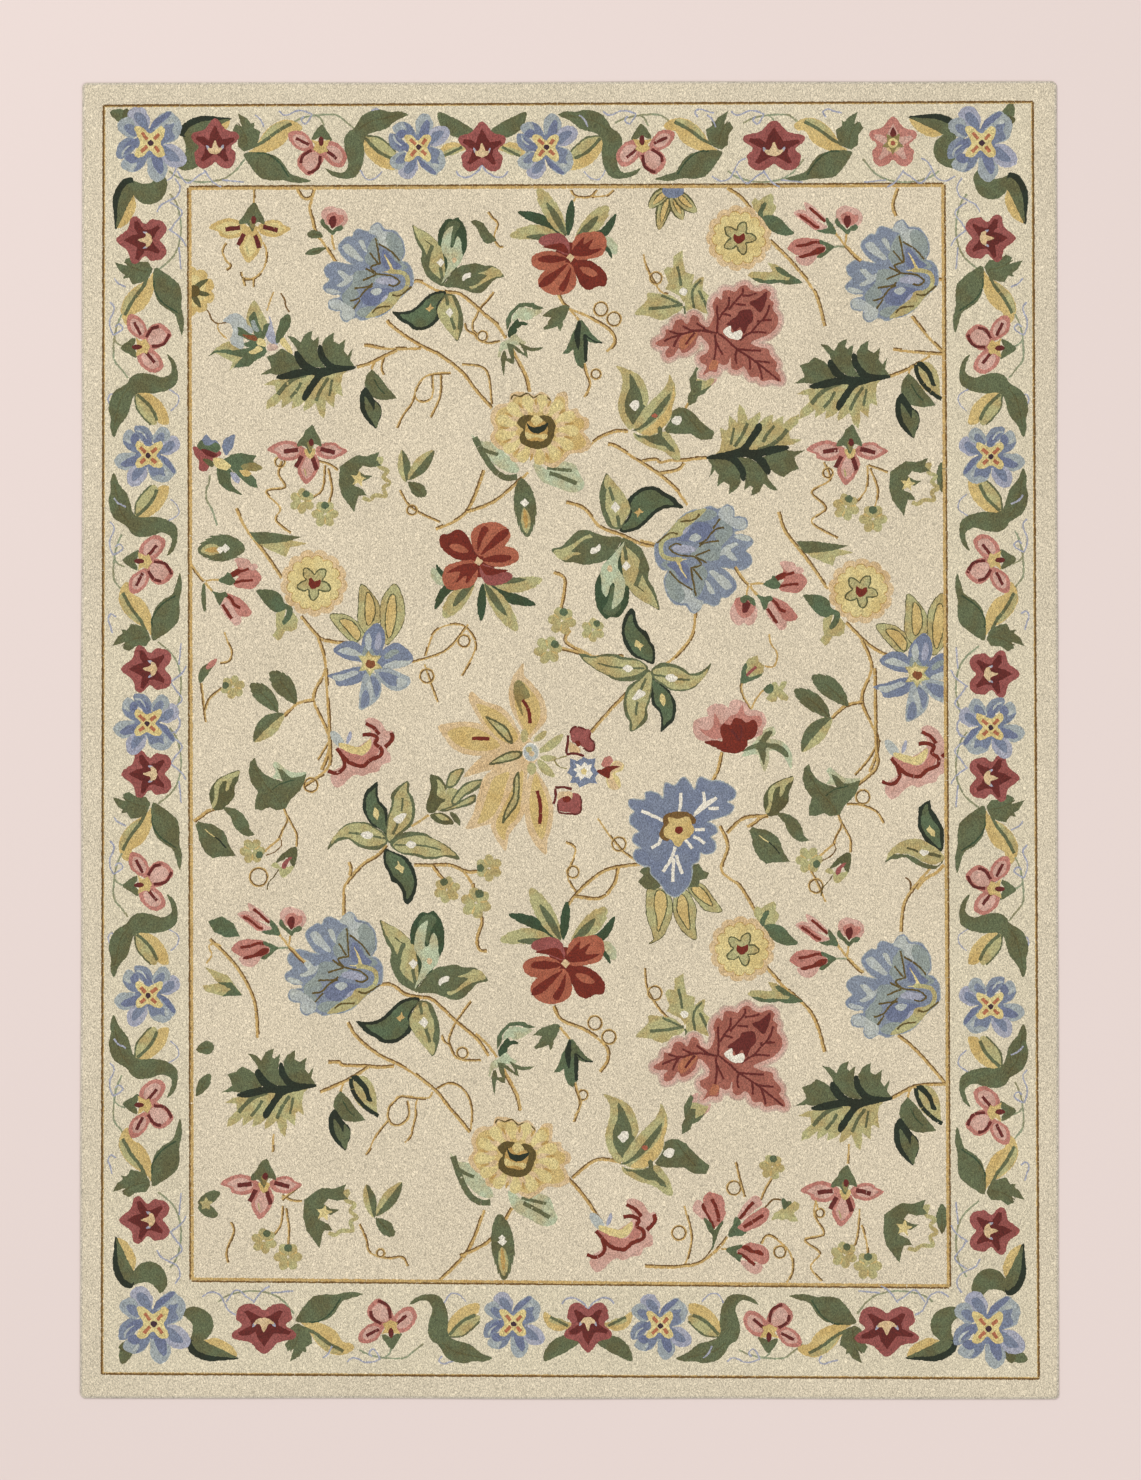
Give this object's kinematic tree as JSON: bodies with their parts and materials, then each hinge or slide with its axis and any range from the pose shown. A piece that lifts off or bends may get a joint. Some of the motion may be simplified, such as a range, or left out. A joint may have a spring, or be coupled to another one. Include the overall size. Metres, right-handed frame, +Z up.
{
  "type": "floral rug",
  "caption": "Flat rectangular hooked wool rug with a floral field, an inner frame, a floral border and a plain outer band.",
  "frame": {"origin": "middle of the underside, on the floor", "axes": "+Z up out of the pile, +Y along the length towards the head end, +X across the width"},
  "size_m": [2.6732, 3.5993, 0.009],
  "materials": {
    "wool_pile": "looped wool pile, matt, cream ground with muted green, blue, rose and gold yarns"
  },
  "bodies": {
    "root": {"hooked_rug": "wool_pile"}
  },
  "joints": []
}
